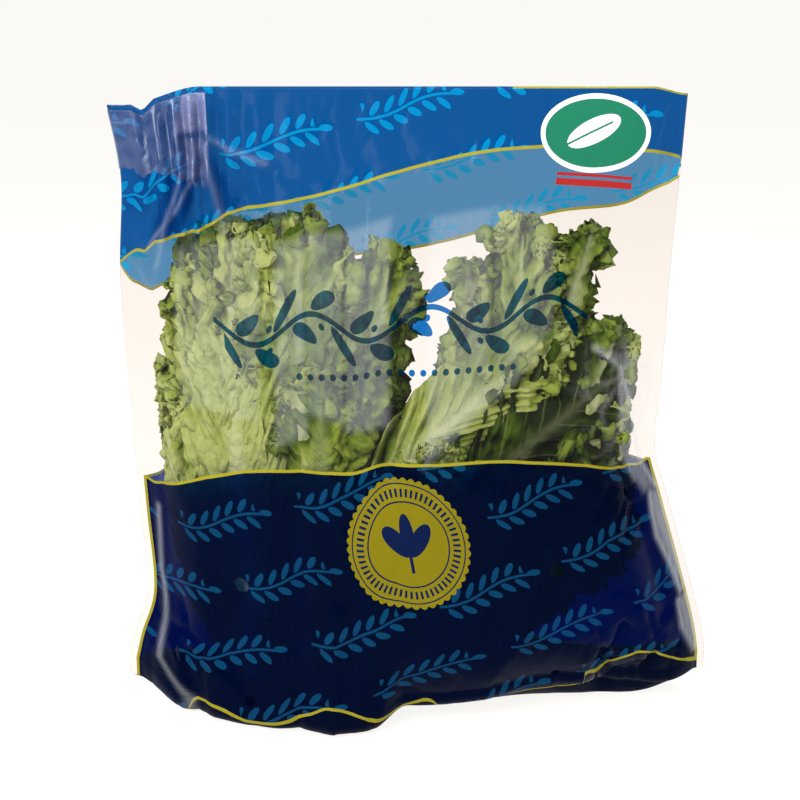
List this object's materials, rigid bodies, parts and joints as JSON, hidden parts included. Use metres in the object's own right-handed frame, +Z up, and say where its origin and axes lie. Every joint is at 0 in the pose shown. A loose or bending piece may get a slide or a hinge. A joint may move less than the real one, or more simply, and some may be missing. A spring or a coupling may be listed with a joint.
{
  "type": "bag of salad leaves",
  "caption": "Clear printed film bag of frilly lettuce leaves, standing on a gusseted base, its gathered top corner held by clear tape.",
  "frame": {"origin": "middle of the footprint, on the surface that the bag stands on", "axes": "+Z up from the base to the mouth, +X to the right seen from the front, -Y towards the front panel"},
  "size_m": [0.278, 0.1, 0.288],
  "materials": {
    "bag": "gloss",
    "closing_tape": "satin"
  },
  "bodies": {
    "root": {"bag": "bag", "closing_tape": "closing_tape"}
  },
  "joints": []
}
